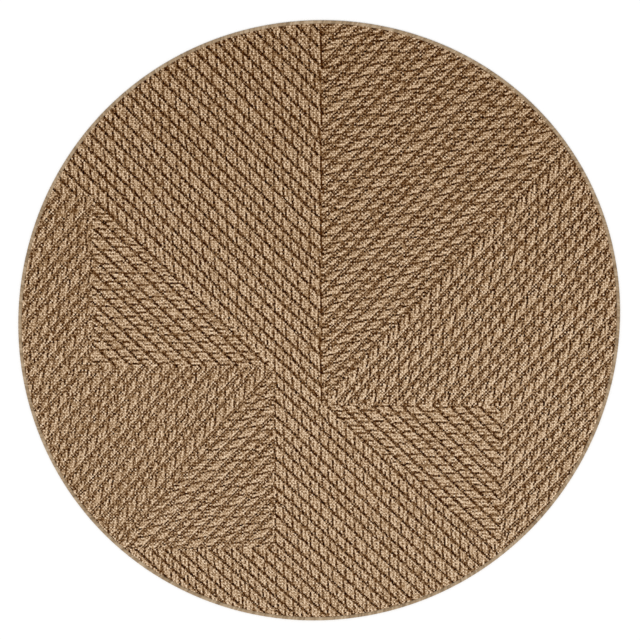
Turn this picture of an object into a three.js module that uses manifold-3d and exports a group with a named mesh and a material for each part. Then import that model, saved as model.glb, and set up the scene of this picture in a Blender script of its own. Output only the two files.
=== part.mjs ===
// Round flat-woven outdoor rug with a bound edge.
// Millimetres, +Z up. The origin is the middle of the underside, and +Y points to the head of the weave.

import * as THREE from 'three';
import { mergeVertices } from 'three/addons/utils/BufferGeometryUtils.js';
import Module from 'manifold-3d';

// Driving dimensions
const DIAMETER = 1600;
const GROOVE_HEIGHT = 3.6;
const RIB_HEIGHT = 1.2;
const BINDING_WIDTH = 8.8;
const BINDING_HEIGHT = 5.6;
const CLEARANCE = 0.3;
const OUTLINE_STEPS = 120;

// The rug is drawn a little long on one diagonal, and its edge wavers by a millimetre or two
const OUTLINE_WAVES = [
  { lobes: 2, height: 6.6, peakDegrees: 40.5 },
  { lobes: 3, height: 1.8, peakDegrees: 20.7 },
  { lobes: 4, height: 1.1, peakDegrees: 35.8 },
];

// The panel's edge is pressed to a thin tongue, and the binding is folded round it
const TONGUE_LENGTH = 5.6;
const TONGUE_BOTTOM = 1.5;
const TONGUE_TOP = 3.0;
const PANEL_INSET = BINDING_WIDTH + CLEARANCE;
const TONGUE_INSET = PANEL_INSET - TONGUE_LENGTH;

// Ribs of the weave: how wide the groove between two ribs is, and how its sides slope
const GROOVE_FLOOR = 2.4;
const GROOVE_SLOPE = 2.8;
const RIB_CROWN = 0.25;
const RIB_ROOT = 0.4;
const RIB_LENGTH = 1.5 * DIAMETER;
const RIM_MARGIN = 2.0;
const SEAM_WIDTH = 3.0;

// Straight seams where the ribs change direction
const FAR_LEFT_X = -602;
const LEFT_X = -121;
const MIDDLE_X = 10;
const RIGHT_X = 482;
const SHOULDER_Y = 330;
const LEFT_Y = -122;
const RIGHT_Y = -228;
const FOOT_Y = -608;
const BEYOND = 1.2 * DIAMETER;

// Where the seams meet
const LEFT_HUB = [LEFT_X, LEFT_Y];
const RIGHT_HUB = [MIDDLE_X, RIGHT_Y];
const SHOULDER = [FAR_LEFT_X, SHOULDER_Y];
const LEFT_CORNER = [FAR_LEFT_X, LEFT_Y];
const RIGHT_CORNER = [RIGHT_X, RIGHT_Y];
const RIGHT_FOOT = [RIGHT_X, FOOT_Y];
const LEFT_FOOT = [LEFT_X, FOOT_Y];
const OUTER_FOOT = [-522, FOOT_Y];
const UPPER_MITRE_END = [MIDDLE_X + BEYOND * 0.682, RIGHT_Y + BEYOND * 0.731];

// Fields of the weave. Ribs run down to the right at -45 degrees and up to the right at 45.
const FIELDS = [
  {
    name: 'main',
    ribDegrees: -45,
    pitch: 28.8,
    corners: [
      [MIDDLE_X, BEYOND],
      [-BEYOND, BEYOND],
      [-BEYOND, SHOULDER_Y],
      SHOULDER,
      LEFT_HUB,
      LEFT_FOOT,
      [-BEYOND, FOOT_Y],
      [-BEYOND, -BEYOND],
      [BEYOND, -BEYOND],
      [BEYOND, FOOT_Y],
      RIGHT_FOOT,
      RIGHT_HUB,
    ],
  },
  {
    name: 'upper right',
    ribDegrees: 45,
    pitch: 27.9,
    corners: [[MIDDLE_X, BEYOND], RIGHT_HUB, UPPER_MITRE_END, [BEYOND, BEYOND]],
  },
  {
    name: 'right',
    ribDegrees: 45,
    pitch: 27.4,
    corners: [RIGHT_HUB, RIGHT_CORNER, RIGHT_FOOT, [BEYOND, FOOT_Y], UPPER_MITRE_END],
  },
  {
    name: 'lower right',
    ribDegrees: -45,
    pitch: 28.4,
    corners: [RIGHT_HUB, RIGHT_FOOT, RIGHT_CORNER],
  },
  {
    name: 'left',
    ribDegrees: -45,
    pitch: 28.6,
    corners: [SHOULDER, LEFT_CORNER, LEFT_HUB],
  },
  {
    name: 'far left',
    ribDegrees: 45,
    pitch: 26.8,
    corners: [SHOULDER, [-BEYOND, SHOULDER_Y], [-BEYOND, FOOT_Y], OUTER_FOOT, LEFT_HUB, LEFT_CORNER],
  },
  {
    name: 'lower left',
    ribDegrees: 45,
    pitch: 26.5,
    corners: [LEFT_HUB, OUTER_FOOT, LEFT_FOOT],
  },
];

const SEAMS = [
  [[MIDDLE_X, BEYOND], RIGHT_HUB],
  [RIGHT_HUB, UPPER_MITRE_END],
  [RIGHT_HUB, RIGHT_CORNER],
  [RIGHT_CORNER, RIGHT_FOOT],
  [RIGHT_HUB, RIGHT_FOOT],
  [RIGHT_FOOT, [BEYOND, FOOT_Y]],
  [SHOULDER, LEFT_HUB],
  [SHOULDER, [-BEYOND, SHOULDER_Y]],
  [SHOULDER, LEFT_CORNER],
  [LEFT_CORNER, LEFT_HUB],
  [LEFT_HUB, OUTER_FOOT],
  [LEFT_HUB, LEFT_FOOT],
  [LEFT_FOOT, [-BEYOND, FOOT_Y]],
];

const wasm = await Module();
wasm.setup();

// Solids to and from the joining and cutting library

function toSolid(geometry) {
  const bare = geometry.clone();
  bare.deleteAttribute('normal');
  bare.deleteAttribute('uv');
  const merged = mergeVertices(bare, 1e-4);
  return new wasm.Manifold(
    new wasm.Mesh({
      numProp: 3,
      vertProperties: new Float32Array(merged.attributes.position.array),
      triVerts: new Uint32Array(merged.index.array),
    }),
  );
}

function toGeometry(solid) {
  const mesh = solid.getMesh();
  const geometry = new THREE.BufferGeometry();
  geometry.setAttribute('position', new THREE.BufferAttribute(mesh.vertProperties, 3));
  geometry.setIndex(new THREE.BufferAttribute(mesh.triVerts, 1));
  geometry.computeVertexNormals();
  return geometry;
}

// Outline of the rug

function outlineRadius(angle) {
  const waver = OUTLINE_WAVES.map(
    (wave) => wave.height * Math.cos(wave.lobes * (angle - THREE.MathUtils.degToRad(wave.peakDegrees))),
  );
  return DIAMETER / 2 + waver.reduce((sum, height) => sum + height, 0);
}

function outlinePoint(step, inset) {
  const angle = (2 * Math.PI * step) / OUTLINE_STEPS;
  const radius = outlineRadius(angle) - inset;
  return new THREE.Vector2(radius * Math.cos(angle), radius * Math.sin(angle));
}

function outlineShape(inset) {
  const points = Array.from({ length: OUTLINE_STEPS }, (_, step) => outlinePoint(step, inset));
  return new THREE.Shape(points);
}

function prism(shape, bottom, top) {
  const geometry = new THREE.ExtrudeGeometry(shape, { depth: top - bottom, bevelEnabled: false });
  geometry.translate(0, 0, bottom);
  return toSolid(geometry);
}

// Ribs of one field: a comb section drawn across the ribs, run out along them, and cut to the field

function combShape(pitch) {
  const ribs = Math.ceil(BEYOND / pitch);
  const root = GROOVE_HEIGHT - RIB_ROOT;
  const shoulder = GROOVE_HEIGHT + RIB_HEIGHT - RIB_CROWN;
  const points = [];
  for (let rib = -ribs; rib < ribs; rib += 1) {
    const start = rib * pitch;
    const side = GROOVE_FLOOR / 2 + GROOVE_SLOPE;
    points.push(new THREE.Vector2(start + GROOVE_FLOOR / 2, root));
    points.push(new THREE.Vector2(start + side, shoulder));
    points.push(new THREE.Vector2(start + pitch / 2, shoulder + RIB_CROWN));
    points.push(new THREE.Vector2(start + pitch - side, shoulder));
    points.push(new THREE.Vector2(start + pitch - GROOVE_FLOOR / 2, root));
  }
  const below = root - 2 * RIB_ROOT;
  points.push(new THREE.Vector2(ribs * pitch, below));
  points.push(new THREE.Vector2(-ribs * pitch, below));
  return new THREE.Shape(points.reverse());
}

function comb(field) {
  const geometry = new THREE.ExtrudeGeometry(combShape(field.pitch), { depth: RIB_LENGTH, bevelEnabled: false });
  geometry.translate(0, 0, -RIB_LENGTH / 2);
  geometry.rotateX(Math.PI / 2);
  geometry.rotateZ(THREE.MathUtils.degToRad(field.ribDegrees) + Math.PI / 2);
  return toSolid(geometry);
}

function fieldPrism(field) {
  const shape = new THREE.Shape(field.corners.map(([x, y]) => new THREE.Vector2(x, y)));
  return prism(shape, 0, BINDING_HEIGHT);
}

function seamBar([start, end]) {
  const from = new THREE.Vector2(...start);
  const along = new THREE.Vector2(...end).sub(from);
  const bar = new THREE.BoxGeometry(along.length() + SEAM_WIDTH, SEAM_WIDTH, BINDING_HEIGHT);
  bar.rotateZ(along.angle());
  bar.translate(from.x + along.x / 2, from.y + along.y / 2, GROOVE_HEIGHT - RIB_ROOT + BINDING_HEIGHT / 2);
  return toSolid(bar);
}

function ribbedFields() {
  const seams = SEAMS.map(seamBar).reduce((all, bar) => all.add(bar));
  const rim = prism(outlineShape(PANEL_INSET + RIM_MARGIN), 0, BINDING_HEIGHT);
  return FIELDS.map((field) => comb(field).intersect(fieldPrism(field)).intersect(rim).subtract(seams));
}

// The woven panel: one flat cloth with ribbed fields and a thin tongue round its edge

function wovenPanel() {
  const cloth = prism(outlineShape(PANEL_INSET), 0, GROOVE_HEIGHT);
  const tongue = prism(outlineShape(TONGUE_INSET), TONGUE_BOTTOM, TONGUE_TOP);
  const solid = ribbedFields().reduce((panel, ribs) => panel.add(ribs), cloth.add(tongue));
  const material = new THREE.MeshStandardMaterial({ color: 0x8f7356, roughness: 0.9, metalness: 0 });
  const mesh = new THREE.Mesh(toGeometry(solid), material);
  mesh.name = 'woven_panel';
  return mesh;
}

// The binding: a rounded band folded round the tongue, open towards the panel

function bindingSection() {
  const slotEnd = TONGUE_INSET - CLEARANCE;
  return [
    { inset: BINDING_WIDTH, height: 0 },
    { inset: 2.4, height: 0 },
    { inset: 0.7, height: 0.9 },
    { inset: 0, height: 2.6 },
    { inset: 0.5, height: 4.2 },
    { inset: 2.2, height: 5.3 },
    { inset: 4.6, height: BINDING_HEIGHT },
    { inset: 7.2, height: 5.2 },
    { inset: BINDING_WIDTH, height: 4.3 },
    { inset: BINDING_WIDTH, height: TONGUE_TOP + CLEARANCE },
    { inset: slotEnd, height: TONGUE_TOP + CLEARANCE },
    { inset: slotEnd, height: TONGUE_BOTTOM - CLEARANCE },
    { inset: BINDING_WIDTH, height: TONGUE_BOTTOM - CLEARANCE },
  ];
}

function edgeBinding() {
  const section = bindingSection();
  const positions = [];
  const index = [];
  for (let step = 0; step < OUTLINE_STEPS; step += 1) {
    section.forEach(({ inset, height }, corner) => {
      const point = outlinePoint(step, inset);
      positions.push(point.x, point.y, height);
      const nextStep = (step + 1) % OUTLINE_STEPS;
      const nextCorner = (corner + 1) % section.length;
      const a = step * section.length + corner;
      const b = nextStep * section.length + corner;
      const c = nextStep * section.length + nextCorner;
      const d = step * section.length + nextCorner;
      index.push(a, b, c, a, c, d);
    });
  }
  const geometry = new THREE.BufferGeometry();
  geometry.setAttribute('position', new THREE.Float32BufferAttribute(positions, 3));
  geometry.setIndex(index);
  geometry.computeVertexNormals();
  const material = new THREE.MeshStandardMaterial({ color: 0x9e8467, roughness: 0.85, metalness: 0 });
  const mesh = new THREE.Mesh(geometry, material);
  mesh.name = 'edge_binding';
  return mesh;
}

const group = new THREE.Group();
group.add(wovenPanel(), edgeBinding());

export default group;
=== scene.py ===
import math

import bpy
import numpy as np
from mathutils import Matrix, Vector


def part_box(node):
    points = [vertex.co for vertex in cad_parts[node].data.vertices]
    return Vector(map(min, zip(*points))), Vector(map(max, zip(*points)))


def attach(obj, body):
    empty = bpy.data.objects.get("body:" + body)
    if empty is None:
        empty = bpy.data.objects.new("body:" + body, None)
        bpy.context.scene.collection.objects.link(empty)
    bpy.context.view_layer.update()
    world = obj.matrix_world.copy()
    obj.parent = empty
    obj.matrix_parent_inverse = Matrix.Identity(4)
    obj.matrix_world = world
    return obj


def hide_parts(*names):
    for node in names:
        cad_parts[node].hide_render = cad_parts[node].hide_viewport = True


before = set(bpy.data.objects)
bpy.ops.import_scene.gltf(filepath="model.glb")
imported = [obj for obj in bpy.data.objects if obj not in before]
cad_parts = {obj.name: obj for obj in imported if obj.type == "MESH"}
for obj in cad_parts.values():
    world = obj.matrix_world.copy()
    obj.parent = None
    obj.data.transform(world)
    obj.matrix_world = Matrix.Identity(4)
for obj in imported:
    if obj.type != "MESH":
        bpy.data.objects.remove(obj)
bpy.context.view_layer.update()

# Round flat-woven outdoor rug with a bound edge, lying on a pale floor

# Outline: a circle with three slow waves, each with its lobes, its height and the angle of a peak in degrees
RADIUS = 0.8
OUTLINE_WAVES = ((2, 0.0066, 40.5), (3, 0.0018, 20.7), (4, 0.0011, 35.8))
BINDING_WIDTH = 0.0088

# Yarn grid: how many columns and rows lie in half the width, how they lean, and how the cloth eases
HALF_WIDTH = 0.7978
COLUMNS = 175.96
ROWS = 177.89
COLUMN_LEAN = -5.52
ROW_LEAN = 0.92
EASE_ACROSS = 0.004
EASE_DOWN = -0.040
GRID_REACH = 188
STITCH = HALF_WIDTH / COLUMNS

# How the cloth has given: a power of the place across, one of the place down, and how many yarns
# their product moves it to the right and down
GIVE = (
    (0, 1, 1.4, -2.0),
    (0, 3, -0.85, 1.4),
    (2, 1, -1.65, -0.4),
    (1, 1, 0.85, 1.0),
    (1, 0, -0.3, 0.0),
    (3, 0, -0.55, 0.0),
    (0, 2, 0.2, 0.27),
    (2, 0, 0.0, 0.55),
    (1, 2, 0.0, -0.45),
)
GIVE_ROUNDS = 6

# Heights of the cloth, from the top of its ribs to the hollows between stitches
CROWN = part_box("woven_panel")[1].z
GROOVE = CROWN - 0.0009
STITCH_GAP = 0.00055
STITCH_SIDE = 0.00030
STITCH_UNEVEN = 0.00012

# The cloth is pressed thin where it goes into the binding
CLOTH_EDGE = 0.0026
PRESSED = 0.016
PRESSED_RELIEF = 0.35
PRESSED_DROP = 0.0003
FACE_INSET = 0.0058

# Straight seams where the ribs change direction
FAR_LEFT_X = -0.602
LEFT_X = -0.121
MIDDLE_X = 0.0076
RIGHT_X = 0.482
SHOULDER_Y = 0.330
LEFT_Y = -0.122
RIGHT_Y = -0.228
FOOT_Y = -0.608
OUTER_FOOT_X = -0.522
UPPER_MITRE_SLOPE = 1.0717

FIELD_NAMES = ("main", "upper_right", "right", "lower_right", "left", "far_left", "lower_left")
FIELDS = range(len(FIELD_NAMES))
MAIN, UPPER_RIGHT, RIGHT, LOWER_RIGHT, LEFT, FAR_LEFT, LOWER_LEFT = FIELDS


def outline_radius(angle):
    """How far the rug reaches from its middle at an angle."""
    waver = [height * np.cos(lobes * (angle - math.radians(peak))) for lobes, height, peak in OUTLINE_WAVES]
    return RADIUS + sum(waver)


def inset_of(x, y):
    """How far a point lies inside the outline."""
    return outline_radius(np.arctan2(y, x)) - np.hypot(x, y)


def give(u, v):
    """How far the cloth has given to the right and down near a count, in yarns."""
    across, down = u / COLUMNS, v / ROWS
    to_right = to_foot = 0
    for across_power, down_power, right_yarns, foot_yarns in GIVE:
        term = across**across_power * down**down_power
        to_right = to_right + right_yarns * term
        to_foot = to_foot + foot_yarns * term
    return to_right, to_foot


def yarn_place(u, v):
    """Where column u crosses row v, in metres."""
    p, q = u, v
    for _ in range(GIVE_ROUNDS):
        right, down = give(p, q)
        p, q = u - right, v - down
    a, b = COLUMNS - EASE_ACROSS * p, COLUMN_LEAN - EASE_DOWN * p
    c, d = ROW_LEAN - EASE_ACROSS * q, ROWS - EASE_DOWN * q
    cross = a * d - b * c
    return HALF_WIDTH * (p * d - b * q) / cross, -HALF_WIDTH * (a * q - c * p) / cross


def yarn_count(x, y):
    """The column and row counted at a point of the cloth."""
    across, down = x / HALF_WIDTH, -y / HALF_WIDTH
    ease = 1 + EASE_ACROSS * across + EASE_DOWN * down
    u = (COLUMNS * across + COLUMN_LEAN * down) / ease
    v = (ROW_LEAN * across + ROWS * down) / ease
    right, down = give(u, v)
    return u + right, v + down


def above(x, y, start, end):
    """Whether a point lies above the line through start and end."""
    slope = (end[1] - start[1]) / (end[0] - start[0])
    return y - start[1] > (x - start[0]) * slope


def field_of(x, y):
    """The field of the weave that each point is in."""
    right_hub, right_foot = (MIDDLE_X, RIGHT_Y), (RIGHT_X, FOOT_Y)
    left_hub, shoulder = (LEFT_X, LEFT_Y), (FAR_LEFT_X, SHOULDER_Y)
    outer_foot = (OUTER_FOOT_X, FOOT_Y)
    right = x > MIDDLE_X
    over_mitre = y - RIGHT_Y > (x - MIDDLE_X) * UPPER_MITRE_SLOPE
    box = right & (x < RIGHT_X) & (y < RIGHT_Y) & (y > FOOT_Y)
    far = (x <= FAR_LEFT_X) & (y < SHOULDER_Y) & (y > FOOT_Y)
    beside = (x > FAR_LEFT_X) & (x < LEFT_X)
    low = beside & (y <= LEFT_Y) & (y > FOOT_Y)
    under_hub = low & ~above(x, y, outer_foot, left_hub)
    field = np.full(x.shape, MAIN)
    field[right & over_mitre] = UPPER_RIGHT
    field[right & ~over_mitre & ~box & (y > FOOT_Y)] = RIGHT
    field[box & above(x, y, right_hub, right_foot)] = LOWER_RIGHT
    field[beside & (y > LEFT_Y) & ~above(x, y, shoulder, left_hub)] = LEFT
    field[far | (low & ~under_hub)] = FAR_LEFT
    field[under_hub] = LOWER_LEFT
    return field


# Seeds of the random numbers, each for one use
FLECK_SEED = 1
FINE_SEED = 9
UNEVEN_SEED = 21
WRAP_SEED = (7, 5)
GROUP_SEED = (3, 6)


# Weave chart: a rule on yarn counts gives each quarter of a stitch its tone, from 0 dark to 1 light

def scatter(a, b, seed):
    """A repeatable random number from -0.5 to 0.5 for each pair of counts, mixed by large primes."""
    h = (a * 73856093) ^ (b * 19349663) ^ (seed * 83492791)
    h = (h ^ (h >> 13)) * 1274126177
    h = h ^ (h >> 16)
    return (h & 0xFFFF) / 0xFFFF - 0.5


def bump(distance, reach):
    """1 at a mark, falling smoothly to 0 at its reach."""
    return (1 - (distance / reach) ** 2).clip(0, 1) ** 2


def ease_in(distance, start, span):
    """0 up to the start, rising evenly to 1 over the span."""
    return ((distance - start) / span).clip(0, 1)


# Bands between diagonal lines: where each starts, the pitch of its dividers, how far they slide
# in the next repeat, and how many broken lines lie between two dividers, all counted in yarns
FALLING_BANDS = (
    (0.65, 6.69, 1.0, 2),
    (10.4, 5.165, 1.1, 1),
    (19.7, 4.458, 0.95, 1),
    (27.85, 5.165, 0.95, 1),
)
RISING_BANDS = (
    (0.0, 6.18, -2.07, 1),
    (8.55, 6.74, 1.2, 1),
    (18.53, 6.17, -2.0, 1),
    (27.03, 5.163, -1.18, 0),
)
LOW_BANDS = (
    (0.0, 6.17, -2.0, 1),
    (8.45, 6.74, 1.2, 1),
    (18.42, 6.18, -2.07, 1),
    (26.88, 5.163, -1.18, 0),
)
FALLING_REPEAT = 36
RISING_REPEAT = 34

# Falling fields: where the repeat starts, the first dividers, and the diagonal where the rhythm breaks,
# with the diagonal held there, how many spare ones it uses up, and how many are skipped before it
FALLING_START = 5
FALLING_DIVIDERS = (1.5, 1.0, 2.7, 0.9)
FALLING_BREAK = -48
FALLING_HELD = -55
FALLING_SPARE = 1
FALLING_SKIP = {MAIN: 18, LOWER_RIGHT: 18, LEFT: 19}

# Rising fields: the diagonal each plan reaches to, where its repeat starts, how far its beads are shifted,
# its bands and their first dividers
RISING_PLANS = {
    UPPER_RIGHT: ((999, 10.6, -0.2, RISING_BANDS, (0.1, 0.7, 0.4, 2.7)),),
    RIGHT: (
        (56, 11.0, 0.25, RISING_BANDS, (5.4, 4.1, 5.8, 3.7)),
        (150, 29.3, -0.6, RISING_BANDS, (5.4, 4.3, 5.6, 3.7)),
        (999, 116.0, 0.6, LOW_BANDS, (2.6, 3.3, 4.7, 3.6)),
    ),
    LOWER_LEFT: ((999, 7.2, 0.15, RISING_BANDS, (3.4, 2.9, 3.9, 1.5)),),
    FAR_LEFT: (
        (0.2, -11.2, 0.85, RISING_BANDS, (4.4, 2.5, 4.3, 3.9)),
        (999, 7.2, -0.1, RISING_BANDS, (3.4, 2.9, 3.9, 1.5)),
    ),
}
RISING_LEAN = 0.3
LEAN_START = 2.2

# Where the rhythm breaks in a rising field's first plan: the diagonal held, and the spare ones used up
RISING_HOLDS = {RIGHT: (50.5, 2.4), FAR_LEFT: (-5.5, 2.7)}

# Tone across a band, by the distance from its line: a dark line where ribs fall, and where they rise
# a light line, a dark one, and two rows of beads with a dark line between them
FALLING_PROFILE = (
    (0.0, 0.5, 0.9, 1.3, 1.8, 2.4, 3.2),
    (0.12, 0.15, 0.30, 0.60, 0.88, 0.86, 0.80),
)
RISING_PROFILE = (
    (0.0, 0.5, 0.9, 1.35, 2.2, 3.3, 4.1, 4.8),
    (0.90, 0.67, 0.35, 0.17, 0.59, 0.18, 0.46, 0.74),
)

# Strokes divide the cells of a band, and dashes are the broken lines between two strokes
STROKE_TONE = 0.07
DASH_REACH = 0.95
DASH_PITCH = 1.8
DASH_START = 5.6

# Marks where ribs fall: how strong each is, with its place and reach in yarns
FALLING_CELL_START = 0.7
FALLING_CELL_SPAN = 0.8
FALLING_STROKE = 0.84
FALLING_STROKE_REACH = 1.2
FALLING_DASH = 0.50
THINNING = 0.45
THINNING_PLACE = 2.1
THINNING_REACH = 1.4
WAVER = 0.18
WAVER_START = 1.6
WAVER_LENGTH = 3.5
KNOT = 0.50
KNOT_PLACE = -0.7
KNOT_REACH = 1.0
KNOT_LENGTH = 1.1

# Marks where ribs rise
RISING_CELL_START = 3.6
RISING_CELL_SPAN = 1.2
RISING_STROKE = 0.9
RISING_STROKE_REACH = 1.35
RISING_DASH = 0.46
RISING_DASH_END = 0.8
RISING_SHADE = 0.30
RISING_SHADE_MIDDLE = 0.35
LIGHT_EDGE = 0.10
LIGHT_EDGE_REACH = 1.0
FIRST_BEAD = 0.20
FIRST_BEAD_PLACE = 2.1
FIRST_BEAD_REACH = 0.95
SECOND_BEAD = 0.27
SECOND_BEAD_PLACE = 4.0
SECOND_BEAD_REACH = 1.5
BEAD_RIPPLE = 0.11
ROW_RIPPLE = 0.07

# How strongly each field shows its ribs, around the middle tone
RIB_CONTRAST = {
    MAIN: 0.98,
    UPPER_RIGHT: 0.88,
    RIGHT: 0.97,
    LOWER_RIGHT: 0.92,
    LEFT: 0.92,
    FAR_LEFT: 0.76,
    LOWER_LEFT: 0.84,
}
MIDDLE_TONE = 0.50

# Flecks of the yarn: for each stitch, less its neighbours across and along the ribs, and for each quarter
FLECK = 0.42
FLECK_ACROSS = 0.42
FLECK_ALONG = 0.12
FINE_FLECK = 0.50

# Seam above the right hub: how much tone its dark column keeps, and how much its light one gains
SEAM_KEEPS = 0.5
SEAM_DARK = 0.06
SEAM_LIGHT = 0.10

# Painted shade: how much darker the cloth is painted towards its head, where less light falls
PAINTED_HEAD_SHADE = 0.11
PAINTED_HEAD_SHADE_LEAST = -0.25

# Tones at which a stitch starts to rise out of the groove, and how much more brings it to the crown
LIFT_TONE = 0.15
LIFT_SPAN = 0.5


def hold_row(s, held, spare):
    """Where the rhythm of the bands breaks, one diagonal is held until the spare ones are used up."""
    return np.where(s > held, np.maximum(s - spare, held), s)


def in_bands(s, along, bands, repeat_width, first, lean):
    """How far each point is into its band and from a divider, and the band's measures and number."""
    starts, pitches, slides, lines = np.array(bands).T
    repeat, rest = np.divmod(s - starts[0], repeat_width)
    band = np.digitize(rest, starts - starts[0]) - 1
    width = np.diff(np.append(starts, starts[0] + repeat_width))[band]
    into = rest - (starts[band] - starts[0])
    pitch = pitches[band]
    centre = np.array(first)[band] + slides[band] * repeat - lean * (into - width / 2 - LEAN_START)
    gap = (along - centre + pitch / 2) % pitch - pitch / 2
    return into, gap, width, pitch, lines[band], band


def broken_lines(into, gap, pitch, lines):
    """Short dark dashes in a row between two dividers, one or two rows of them."""
    away = np.abs(np.abs(gap) - pitch / (lines + 1))
    return bump(away, DASH_REACH) * (0.5 + 0.5 * np.cos(2 * math.pi * (into - DASH_START) / DASH_PITCH))


def falling_ribs(u, v, field):
    """Ribs that run down to the right: leaf-shaped cells of light yarn between dark diagonals."""
    s = u - v
    early = hold_row(s, FALLING_HELD, FALLING_SPARE) + FALLING_SKIP[field]
    s = np.where(s < FALLING_BREAK, early, s) - FALLING_START
    along = u if field == MAIN else v
    into, gap, width, pitch, lines, _ = in_bands(s, along, FALLING_BANDS, FALLING_REPEAT, FALLING_DIVIDERS, 0)
    off = np.minimum(into, width - into)
    tone = np.interp(off, *FALLING_PROFILE)
    in_cell = ease_in(off, FALLING_CELL_START, FALLING_CELL_SPAN)
    waver = WAVER * np.cos(2 * math.pi * (into - WAVER_START) / WAVER_LENGTH)
    strength = FALLING_STROKE - THINNING * bump(width - into - THINNING_PLACE, THINNING_REACH)
    tone = tone + (STROKE_TONE - tone) * bump(gap - waver, FALLING_STROKE_REACH) * in_cell * strength
    tone = tone - FALLING_DASH * broken_lines(into, gap, pitch, lines) * in_cell
    return tone + KNOT * bump(gap - KNOT_PLACE, KNOT_REACH) * bump(off, KNOT_LENGTH)


def rising_tone(bead, into, gap, width, pitch, lines):
    """Tone of a rising band at a point, from its bead and its place in the band."""
    left = width - into
    in_cell = ease_in(into, RISING_CELL_START, RISING_CELL_SPAN)
    shade = (gap % pitch) / pitch - RISING_SHADE_MIDDLE
    tone = np.interp(into, *RISING_PROFILE) + RISING_SHADE * shade * in_cell
    tone = tone + LIGHT_EDGE * bump(left, LIGHT_EDGE_REACH)
    first = FIRST_BEAD * bump(into - FIRST_BEAD_PLACE, FIRST_BEAD_REACH)
    second = SECOND_BEAD * bump(into - SECOND_BEAD_PLACE, SECOND_BEAD_REACH)
    tone = tone + bead * (first - second)
    tone = tone + BEAD_RIPPLE * (2 * bead**2 - 1) + ROW_RIPPLE * np.cos(math.pi * into) * in_cell
    tone = tone - RISING_DASH * broken_lines(into, gap, pitch, lines) * in_cell * (left > RISING_DASH_END)
    return tone + (STROKE_TONE - tone) * bump(gap, RISING_STROKE_REACH) * in_cell * RISING_STROKE


def rising_ribs(u, v, field):
    """Ribs that run up to the right: thin light lines, chains of beads, and slanting dark strokes."""
    s = u + v
    along = u if field in (RIGHT, FAR_LEFT) else v
    folded = s
    if field in RISING_HOLDS:
        first_until = RISING_PLANS[field][0][0]
        folded = np.where(s < first_until, hold_row(s, *RISING_HOLDS[field]), s)
    tone = np.zeros(s.shape)
    done = -np.inf
    for until, start, shift, bands, first in RISING_PLANS[field]:
        here = (s >= done) & (s < until)
        *place, band = in_bands(folded[here] - start, along[here], bands, RISING_REPEAT, first, RISING_LEAN)
        bead = np.cos(math.pi * (along[here] - s[here] / 2 + shift + (band > 1)))
        tone[here] = rising_tone(bead, *place)
        done = until
    return tone


def stitch_chart(u, v, field):
    """Tone of the cloth at a yarn count, before its flecks."""
    tone = np.zeros(u.shape)
    for each in FIELDS:
        here = field == each
        ribs = falling_ribs if each in FALLING_SKIP else rising_ribs
        tone[here] = MIDDLE_TONE + (ribs(u[here], v[here], each) - MIDDLE_TONE) * RIB_CONTRAST[each]
    return tone


def fleck(i, j):
    """Uneven yarn: each stitch against its neighbours, more so against those across the ribs."""
    across = scatter(i - 1, j, FLECK_SEED) + scatter(i + 1, j, FLECK_SEED)
    along = scatter(i, j - 1, FLECK_SEED) + scatter(i, j + 1, FLECK_SEED)
    return scatter(i, j, FLECK_SEED) - FLECK_ACROSS * across - FLECK_ALONG * along


def middle_seam(x, y, tone):
    """The upright seam above its hub: a dark column of stitches and a light one beside it."""
    away = np.where(y > RIGHT_Y, np.floor((MIDDLE_X - x) / STITCH), -1)
    tone = np.where(away == 0, SEAM_KEEPS * tone + SEAM_DARK, tone)
    return np.where(away == 1, tone + SEAM_LIGHT, tone)


# Grid of the cloth: stitches, and a lattice of two points to each stitch

COUNT = 2 * GRID_REACH
CELLS = np.arange(-GRID_REACH, GRID_REACH)
CELL_I, CELL_J = np.meshgrid(CELLS, CELLS, indexing="ij")
CELL_X, CELL_Y = yarn_place(CELL_I + 0.5, CELL_J + 0.5)
CELL_FIELD = field_of(CELL_X, CELL_Y)
CELL_INSET = inset_of(CELL_X, CELL_Y)


def twice(values):
    """Each stitch's value for all four of its quarters."""
    return values.repeat(2, 0).repeat(2, 1)


QUARTERS = np.tile([0.25, 0.75], COUNT)
QUARTER_U = twice(CELL_I) + QUARTERS[:, None]
QUARTER_V = twice(CELL_J) + QUARTERS[None, :]
RIB_TONE = stitch_chart(QUARTER_U, QUARTER_V, twice(CELL_FIELD))
CELL_LIFT = ease_in(RIB_TONE.reshape(COUNT, 2, COUNT, 2).mean((1, 3)), LIFT_TONE, LIFT_SPAN)
UPRIGHT = (CELL_FIELD == MAIN) | (CELL_FIELD == RIGHT) | (CELL_FIELD == FAR_LEFT)
FLECKS = FLECK * twice(np.where(UPRIGHT, fleck(CELL_I, CELL_J), fleck(CELL_J, CELL_I)))
FLECKS += FINE_FLECK * scatter(*np.indices(RIB_TONE.shape), FINE_SEED)
SEAMED_TONE = middle_seam(twice(CELL_X), twice(CELL_Y), RIB_TONE + FLECKS)
# Painted shade: the tone is painted darker towards the head of the rug
QUARTER_TONE = SEAMED_TONE.clip(0, 1) * (1 - PAINTED_HEAD_SHADE * (twice(CELL_Y) / RADIUS).clip(PAINTED_HEAD_SHADE_LEAST, 1))


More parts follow.
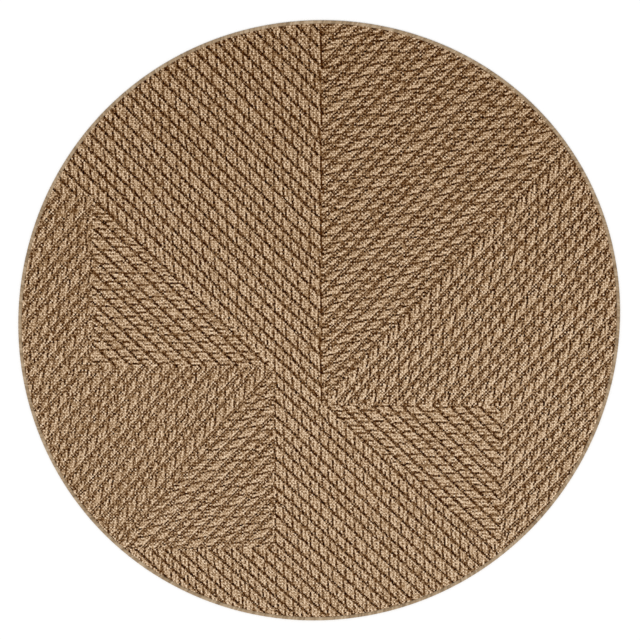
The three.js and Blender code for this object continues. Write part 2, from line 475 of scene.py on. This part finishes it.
def lattice():
    """Points of the lattice: place, yarn count, and crown, which is 1 on a stitch and 0 between stitches, and
    sets the shade painted between them.
    """
    n = 2 * COUNT + 1
    half = np.arange(n) / 2 - GRID_REACH
    u, v = np.meshgrid(half, half, indexing="ij")
    x, y = yarn_place(u, v)
    level = GROOVE + (CROWN - GROOVE) * CELL_LIFT + STITCH_UNEVEN * scatter(CELL_I, CELL_J, UNEVEN_SEED)
    z = np.zeros((n, n))
    z[1::2, 1::2] = level
    padded = np.pad(level, 1, mode="edge")
    z[::2, 1::2] = (padded[:-1, 1:-1] + padded[1:, 1:-1]) / 2 - STITCH_SIDE
    z[1::2, ::2] = (padded[1:-1, :-1] + padded[1:-1, 1:]) / 2 - STITCH_SIDE
    z[::2, ::2] = (padded[:-1, :-1] + padded[1:, :-1] + padded[:-1, 1:] + padded[1:, 1:]) / 4 - STITCH_GAP
    free = ease_in(inset_of(x, y), BINDING_WIDTH, PRESSED - BINDING_WIDTH)
    free = free * free * (3 - 2 * free)
    z = CLOTH_EDGE + (z - CLOTH_EDGE) * (PRESSED_RELIEF * (1 - free) + free) - PRESSED_DROP * (1 - free)
    crown = np.zeros((n, n))
    crown[1::2, 1::2] = 1
    crown[::2, 1::2] = crown[1::2, ::2] = 0.5
    return x, y, z, u, v, crown


LATTICE = lattice()


# Meshes

def new_object(name, points, faces, material):
    """A smooth mesh of faces that all have the same number of sides."""
    mesh = bpy.data.meshes.new(name)
    sides = faces.shape[1]
    mesh.vertices.add(len(points))
    mesh.vertices.foreach_set("co", points.astype(np.float32).ravel())
    mesh.loops.add(faces.size)
    mesh.loops.foreach_set("vertex_index", faces.astype(np.int32).ravel())
    mesh.polygons.add(len(faces))
    mesh.polygons.foreach_set("loop_start", np.arange(0, faces.size, sides, dtype=np.int32))
    mesh.update(calc_edges=True)
    mesh.polygons.foreach_set("use_smooth", np.ones(len(faces), bool))
    mesh.materials.append(material)
    obj = bpy.data.objects.new(name, mesh)
    bpy.context.scene.collection.objects.link(obj)
    return obj


def add_map(obj, name, across, up):
    """A UV map from a pair of numbers for each corner of each face."""
    layer = obj.data.uv_layers.new(name=name)
    both = np.stack([across.ravel(), up.ravel()], -1)
    layer.data.foreach_set("uv", both.astype(np.float32).ravel())


def add_yarn_map(obj, across, up):
    """The map that the material reads, in yarns."""
    add_map(obj, "Yarn", across, up)
    obj.data.uv_layers.active = obj.data.uv_layers["Yarn"]


def add_flat_map(obj, points, faces):
    """A second map: the piece seen from above, filling the square."""
    place = points[:, :2]
    flat = (place - place.min(0)) / np.ptp(place, axis=0)
    add_map(obj, "OFBake", flat[faces, 0], flat[faces, 1])


def add_number(obj, name, domain, values):
    """A number for each face or point, which the material reads by name."""
    layer = obj.data.attributes.new(name, "FLOAT", domain)
    layer.data.foreach_set("value", values.astype(np.float32).ravel())


# Materials

YARN_GAIN = 0.86
SPECULAR = 0.03
SHEEN_ROUGHNESS = 0.5
FIBRE_DETAIL = 3.0
FIBRE_ROUGHNESS = 0.6


def linear(value):
    """The linear strength of an sRGB value from 0 to 255."""
    value /= 255
    return value / 12.92 if value <= 0.04045 else ((value + 0.055) / 1.055) ** 2.4


def colour(shade):
    """The linear colour of a yarn, a little under its full strength."""
    return (*(YARN_GAIN * linear(value) for value in shade), 1.0)


class Nodes:
    """A short way to add and join the nodes of one material."""

    def __init__(self, name, roughness, sheen):
        self.material = bpy.data.materials.new(name)
        self.material.use_nodes = True
        self.tree = self.material.node_tree
        self.shader = self.tree.nodes["Principled BSDF"]
        self.shader.inputs["Roughness"].default_value = roughness
        self.shader.inputs["Sheen Weight"].default_value = sheen
        self.shader.inputs["Sheen Roughness"].default_value = SHEEN_ROUGHNESS
        self.shader.inputs["Specular IOR Level"].default_value = SPECULAR

    def put(self, socket, value):
        if isinstance(value, bpy.types.NodeSocket):
            self.tree.links.new(value, socket)
        else:
            socket.default_value = value

    def add(self, kind, inputs=(), **settings):
        node = self.tree.nodes.new("ShaderNode" + kind)
        for name, value in settings.items():
            setattr(node, name, value)
        for key, value in dict(inputs).items():
            self.put(node.inputs[key], value)
        return node

    def math(self, operation, a, b=0.0):
        return self.add("Math", {0: a, 1: b}, operation=operation).outputs[0]

    def scaled(self, value, size, start):
        """The value times its size, counted from the start."""
        return self.math("ADD", self.math("MULTIPLY", value, size), start)

    def number(self, name):
        return self.add("Attribute", attribute_name=name).outputs["Fac"]

    def yarn_map(self):
        return self.add("UVMap", uv_map="Yarn").outputs[0]

    def column_and_row(self):
        """The two numbers of the yarn map apart."""
        parts = self.add("SeparateXYZ", {0: self.yarn_map()})
        return parts.outputs[0], parts.outputs[1]

    def fibres(self, vector, scale):
        inputs = {"Vector": vector, "Scale": scale, "Detail": FIBRE_DETAIL, "Roughness": FIBRE_ROUGHNESS}
        return self.add("TexNoise", inputs).outputs[0]

    def paint(self, tone, stops):
        """Base colour from the tone, by stops of tone and colour."""
        node = self.add("ValToRGB", {0: tone})
        elements = node.color_ramp.elements
        while len(elements) < len(stops):
            elements.new(0.5)
        for element, (place, shade) in zip(elements, stops):
            element.position = place
            element.color = colour(shade)
        self.put(self.shader.inputs["Base Color"], node.outputs[0])

    def bump(self, height, strength, distance):
        inputs = {"Height": height, "Strength": strength, "Distance": distance}
        self.put(self.shader.inputs["Normal"], self.add("Bump", inputs).outputs[0])


# Tone and colour of the cloth's yarn, from its hollows to its lightest fibres
YARN_SHADES = (
    (0.0, (14, 0, 0)),
    (0.09, (38, 4, 0)),
    (0.27, (84, 44, 0)),
    (0.52, (149, 116, 79)),
    (0.73, (198, 166, 131)),
    (0.90, (237, 205, 171)),
    (1.0, (255, 232, 202)),
)

# Painted shade of a stitch: how dark its hollow is painted, how much lighter its crown is, and how much its
# fibres vary
PAINTED_HOLLOW_SHADE = 0.53
PAINTED_CROWN_LIGHT = 0.8
FIBRE_SHADE = 0.16
FIBRE_START = 0.92

# Fibres turn round the yarn as they run along it
FIBRES_ACROSS = 5.0
FIBRES_ALONG = 2.0
FIBRE_SCALE = 1.6
FIBRE_BUMP = 0.35
FIBRE_HEIGHT = 0.0004


def yarn_material():
    """Flat plastic yarn: the stitch's own tone, with shade painted darker between stitches, and fine fibres
    along it.
    """
    m = Nodes("woven_yarn", roughness=0.85, sheen=0.0)
    column, row = m.column_and_row()
    turn = m.number("turn")
    across = m.add("Mix", {0: turn, 2: column, 3: row}).outputs[0]
    along = m.add("Mix", {0: turn, 2: row, 3: column}).outputs[0]
    twist = m.math("ADD", m.math("MULTIPLY", across, FIBRES_ACROSS), m.math("MULTIPLY", along, FIBRES_ALONG))
    strand = m.add("CombineXYZ", {0: twist, 1: along}).outputs[0]
    fibres = m.fibres(strand, FIBRE_SCALE)
    # Painted shade: the tone is darkened in the hollows between stitches and kept on their crowns
    shade = m.scaled(m.number("crown"), PAINTED_CROWN_LIGHT, PAINTED_HOLLOW_SHADE)
    fibre_shade = m.scaled(fibres, FIBRE_SHADE, FIBRE_START)
    m.paint(m.math("MULTIPLY", m.math("MULTIPLY", m.number("tone"), shade), fibre_shade), YARN_SHADES)
    m.bump(fibres, FIBRE_BUMP, FIBRE_HEIGHT)
    return m.material


BINDING_SHADES = (
    (0.0, (74, 52, 26)),
    (0.5, (166, 141, 111)),
    (1.0, (214, 193, 165)),
)
BINDING_FIBRE_SCALE = 6.0
BINDING_FIBRE_SHADE = 0.25
BINDING_BUMP = 0.3
BINDING_FIBRE_HEIGHT = 0.0003


def binding_material():
    """Overcast edge yarn in tan: each turn's own tone, with fine fibres."""
    m = Nodes("binding_yarn", roughness=0.75, sheen=0.15)
    fibres = m.fibres(m.yarn_map(), BINDING_FIBRE_SCALE)
    m.paint(m.scaled(fibres, BINDING_FIBRE_SHADE, m.number("tone")), BINDING_SHADES)
    m.bump(fibres, BINDING_BUMP, BINDING_FIBRE_HEIGHT)
    return m.material


# Underside: its tone, how much lighter every other stitch is, its flecks, and the shade painted in the
# hollows between its stitches
BACK_TONE = 0.40
BACK_CHECK = 0.16
BACK_FLECK = 0.22
BACK_PAINTED_HOLLOW_SHADE = 0.74
BACK_PAINTED_CROWN_LIGHT = 0.35
BACK_BUMP = 0.8
BACK_HEIGHT = 0.0008


def back_material():
    """Plain underside: the same two yarns, crossing one over one, with shade painted between the stitches."""
    m = Nodes("woven_back", roughness=0.8, sheen=0.1)
    counts = m.column_and_row()
    column, row = (m.math("FLOOR", count) for count in counts)
    check = m.math("MODULO", m.math("ABSOLUTE", m.math("ADD", column, row)), 2.0)
    cell = m.add("CombineXYZ", {0: column, 1: row}).outputs[0]
    fleck_tone = m.add("TexWhiteNoise", {"Vector": cell}, noise_dimensions="2D").outputs["Value"]
    waves = [m.math("SINE", m.math("MULTIPLY", count, math.pi)) for count in counts]
    hill = m.math("MULTIPLY", *(m.math("ABSOLUTE", wave) for wave in waves))
    tone = m.math("ADD", m.math("MULTIPLY", check, BACK_CHECK), m.math("MULTIPLY", fleck_tone, BACK_FLECK))
    # Painted shade: darker in the hollows between the underside's stitches, lighter on their crowns
    shade = m.scaled(hill, BACK_PAINTED_CROWN_LIGHT, BACK_PAINTED_HOLLOW_SHADE)
    m.paint(m.math("MULTIPLY", m.math("ADD", tone, BACK_TONE), shade), YARN_SHADES)
    m.bump(hill, BACK_BUMP, BACK_HEIGHT)
    return m.material


# Pieces

def cloth_piece(name, keep, material):
    """The woven face over the chosen stitches: four small faces to each rounded stitch."""
    x, y, z, u, v, crown = LATTICE
    i, j = np.nonzero(keep)
    n = x.shape[1]
    quarters = [(a, b) for a in (0, 1) for b in (0, 1)]
    faces = []
    for a, b in quarters:
        corner = (2 * i + a) * n + 2 * j + b
        faces.append(np.stack([corner, corner + 1, corner + n + 1, corner + n], -1))
    faces = np.stack(faces, 1).reshape(-1, 4)
    used, faces = np.unique(faces, return_inverse=True)
    faces = faces.reshape(-1, 4)
    points = np.stack([x.ravel()[used], y.ravel()[used], z.ravel()[used]], -1)
    obj = new_object(name, points, faces, material)
    add_yarn_map(obj, u.ravel()[used][faces], v.ravel()[used][faces])
    add_flat_map(obj, points, faces)
    add_number(obj, "tone", "FACE", np.stack([QUARTER_TONE[2 * i + a, 2 * j + b] for a, b in quarters], 1))
    add_number(obj, "turn", "FACE", np.repeat((CELL_I[i, j] + CELL_J[i, j]) % 2, len(quarters)))
    add_number(obj, "crown", "POINT", crown.ravel()[used])
    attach(obj, "root")
    return obj


def woven_face():
    """One piece for each field of the weave, with the main field cut in four."""
    material = yarn_material()
    inside = CELL_INSET > FACE_INSET
    main = CELL_FIELD == MAIN
    head = main & (CELL_Y > SHOULDER_Y)
    foot = main & (CELL_Y < FOOT_Y)
    middle = main & ~head & ~foot
    parts = {
        "woven_head": head,
        "woven_middle": middle & (CELL_X <= MIDDLE_X),
        "woven_mitre": middle & (CELL_X > MIDDLE_X),
        "woven_foot": foot,
    }
    for field in FIELDS[UPPER_RIGHT:]:
        parts["woven_" + FIELD_NAMES[field]] = CELL_FIELD == field
    return [cloth_piece(name, cells & inside, material) for name, cells in parts.items()]


BACK_STEPS = 240
BACK_RINGS = 48
BACK_INSET = 0.0045
BACK_LOW = 0.0001
BACK_HIGH = 0.0018


def woven_back():
    """The body of the cloth under its face: a thin round sheet, flat on the floor."""
    angle = 2 * math.pi * np.arange(BACK_STEPS) / BACK_STEPS
    rim = outline_radius(angle) - BACK_INSET
    points = [(0.0, 0.0, BACK_LOW), (0.0, 0.0, BACK_HIGH)]
    rows = []
    for height in (BACK_LOW, BACK_HIGH):
        for ring in range(1, BACK_RINGS + 1):
            reach = rim * ring / BACK_RINGS
            rows.append(np.arange(BACK_STEPS) + len(points))
            points.extend(zip(reach * np.cos(angle), reach * np.sin(angle), np.full(BACK_STEPS, height)))
    under, over = rows[:BACK_RINGS], rows[BACK_RINGS:]
    strips = list(zip(under[1:], under[:-1])) + list(zip(over[:-1], over[1:])) + [(over[-1], under[-1])]
    triangles = []
    for inner, outer in strips:
        after, outer_after = np.roll(inner, -1), np.roll(outer, -1)
        triangles.append(np.stack([inner, outer, outer_after], -1))
        triangles.append(np.stack([inner, outer_after, after], -1))
    for centre, ring, turn in ((0, under[0], 1), (1, over[0], -1)):
        pair = (np.roll(ring, -1), ring)[::turn]
        triangles.append(np.stack([np.full(BACK_STEPS, centre), *pair], -1))
    points, faces = np.array(points), np.concatenate(triangles)
    obj = new_object("woven_back", points, faces, back_material())
    u, v = yarn_count(points[:, 0], points[:, 1])
    add_yarn_map(obj, u[faces], v[faces])
    add_flat_map(obj, points, faces)
    for polygon in obj.data.polygons:
        polygon.use_smooth = abs(polygon.normal.z) > 0.5
    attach(obj, "root")
    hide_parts("woven_panel")
    return obj


# Binding: turns of yarn, how far each leans on as it goes round, and how deep the gaps between them are
WRAPS = 1240
WRAP_STEPS = 4
WRAP_SLANT = 1.6
WRAP_DEPTH = 0.00035
WRAP_LENGTH = 4
BINDING_TONE = 0.40
WRAP_FLECK = 0.30
GROUP_FLECK = 0.22
GROUP_WRAPS = 4

# Section of the binding: inset from the outline and height, round from the underside
BINDING_SECTION = (
    (0.0060, 0.00035),
    (0.0026, 0.00035),
    (0.0006, 0.0009),
    (-0.0004, 0.0019),
    (-0.0005, 0.0031),
    (0.0002, 0.0043),
    (0.0018, 0.0050),
    (0.0038, 0.00525),
    (0.0055, 0.00515),
    (0.0072, 0.0046),
    (0.0084, 0.0037),
    (0.0087, 0.0025),
    (0.0081, 0.0012),
)


def edge_binding():
    """Overcast edge: yarn wrapped closely round the rim, each turn a little aslant."""
    section = np.array(BINDING_SECTION)
    n, steps = len(section), WRAPS * WRAP_STEPS
    step, place = np.meshgrid(np.arange(steps), np.arange(n), indexing="ij")
    turn = step / WRAP_STEPS
    angle = 2 * math.pi * (turn + WRAP_SLANT * place / n) / WRAPS
    wave = 0.5 - 0.5 * np.cos(2 * math.pi * turn)
    away = section - section.mean(0)
    away /= np.hypot(away[:, 0], away[:, 1])[:, None]
    proud = WRAP_DEPTH * (wave - 1)
    inset = section[place, 0] + away[place, 0] * proud
    height = (section[place, 1] + away[place, 1] * proud).clip(BACK_LOW, None)
    radius = outline_radius(angle) - inset
    points = np.stack([radius * np.cos(angle), radius * np.sin(angle), height], -1).reshape(-1, 3)
    after, up = (step + 1) % steps, (place + 1) % n
    faces = np.stack([step * n + place, after * n + place, after * n + up, step * n + up], -1).reshape(-1, 4)
    obj = new_object("edge_binding_yarn", points, faces, binding_material())
    wrap = step // WRAP_STEPS
    tone = BINDING_TONE + WRAP_FLECK * scatter(wrap, *WRAP_SEED)
    tone = tone + GROUP_FLECK * scatter(wrap // GROUP_WRAPS, *GROUP_SEED)
    add_number(obj, "tone", "FACE", tone)
    ahead, over = turn + 1 / WRAP_STEPS, place + 1.0
    corner_turn = np.stack([turn, ahead, ahead, turn], -1)
    corner_place = np.stack([place, place, over, over], -1)
    add_yarn_map(obj, corner_turn, corner_place / n * WRAP_LENGTH)
    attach(obj, "root")
    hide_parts("edge_binding")
    return obj


# Room

FLOOR_REACH = 40.0
FLOOR_LEVEL = -0.0003
FLOOR_COLOUR = (0.90, 0.90, 0.90, 1.0)
FLOOR_ROUGHNESS = 0.9
FLOOR_SPECULAR = 0.1


def floor():
    """A plain pale floor, just under the rug."""
    mesh = bpy.data.meshes.new("floor")
    signs = ((-1, -1), (1, -1), (1, 1), (-1, 1))
    mesh.from_pydata([(x * FLOOR_REACH, y * FLOOR_REACH, FLOOR_LEVEL) for x, y in signs], [], [(0, 1, 2, 3)])
    material = bpy.data.materials.new("floor")
    material.use_nodes = True
    shader = material.node_tree.nodes["Principled BSDF"]
    shader.inputs["Base Color"].default_value = FLOOR_COLOUR
    shader.inputs["Roughness"].default_value = FLOOR_ROUGHNESS
    shader.inputs["Specular IOR Level"].default_value = FLOOR_SPECULAR
    mesh.materials.append(material)
    obj = bpy.data.objects.new("floor", mesh)
    bpy.context.scene.collection.objects.link(obj)


SKY_COLOUR = (1.0, 1.0, 1.0, 1.0)
SKY_STRENGTH = 0.62
KEY_ENERGY = 1.75
KEY_SPREAD = math.radians(40)
KEY_TILT = (math.radians(22), math.radians(-4), 0)


def lights():
    """An even white studio, and one broad key light from the foot of the rug."""
    world = bpy.data.worlds.new("studio")
    world.use_nodes = True
    background = world.node_tree.nodes["Background"]
    background.inputs["Color"].default_value = SKY_COLOUR
    background.inputs["Strength"].default_value = SKY_STRENGTH
    bpy.context.scene.world = world
    lamp = bpy.data.lights.new("key", "SUN")
    lamp.energy = KEY_ENERGY
    lamp.angle = KEY_SPREAD
    obj = bpy.data.objects.new("key", lamp)
    obj.rotation_euler = KEY_TILT
    bpy.context.scene.collection.objects.link(obj)


CAMERA_HEIGHT = 4.0
SENSOR_WIDTH = 36.0
VIEW_WIDTH = 1.70195
VIEW_CENTRE = (0.0031, -0.0008)


def camera():
    """Straight above the rug, as the photo was taken."""
    data = bpy.data.cameras.new("camera")
    data.sensor_width = SENSOR_WIDTH
    data.lens = SENSOR_WIDTH * (CAMERA_HEIGHT - CROWN) / VIEW_WIDTH
    obj = bpy.data.objects.new("camera", data)
    obj.location = (*VIEW_CENTRE, CAMERA_HEIGHT)
    bpy.context.scene.collection.objects.link(obj)
    bpy.context.scene.camera = obj


camera()
lights()
floor()
face = woven_face()
binding = edge_binding()
back = woven_back()
bpy.context.scene.view_settings.view_transform = "Standard"
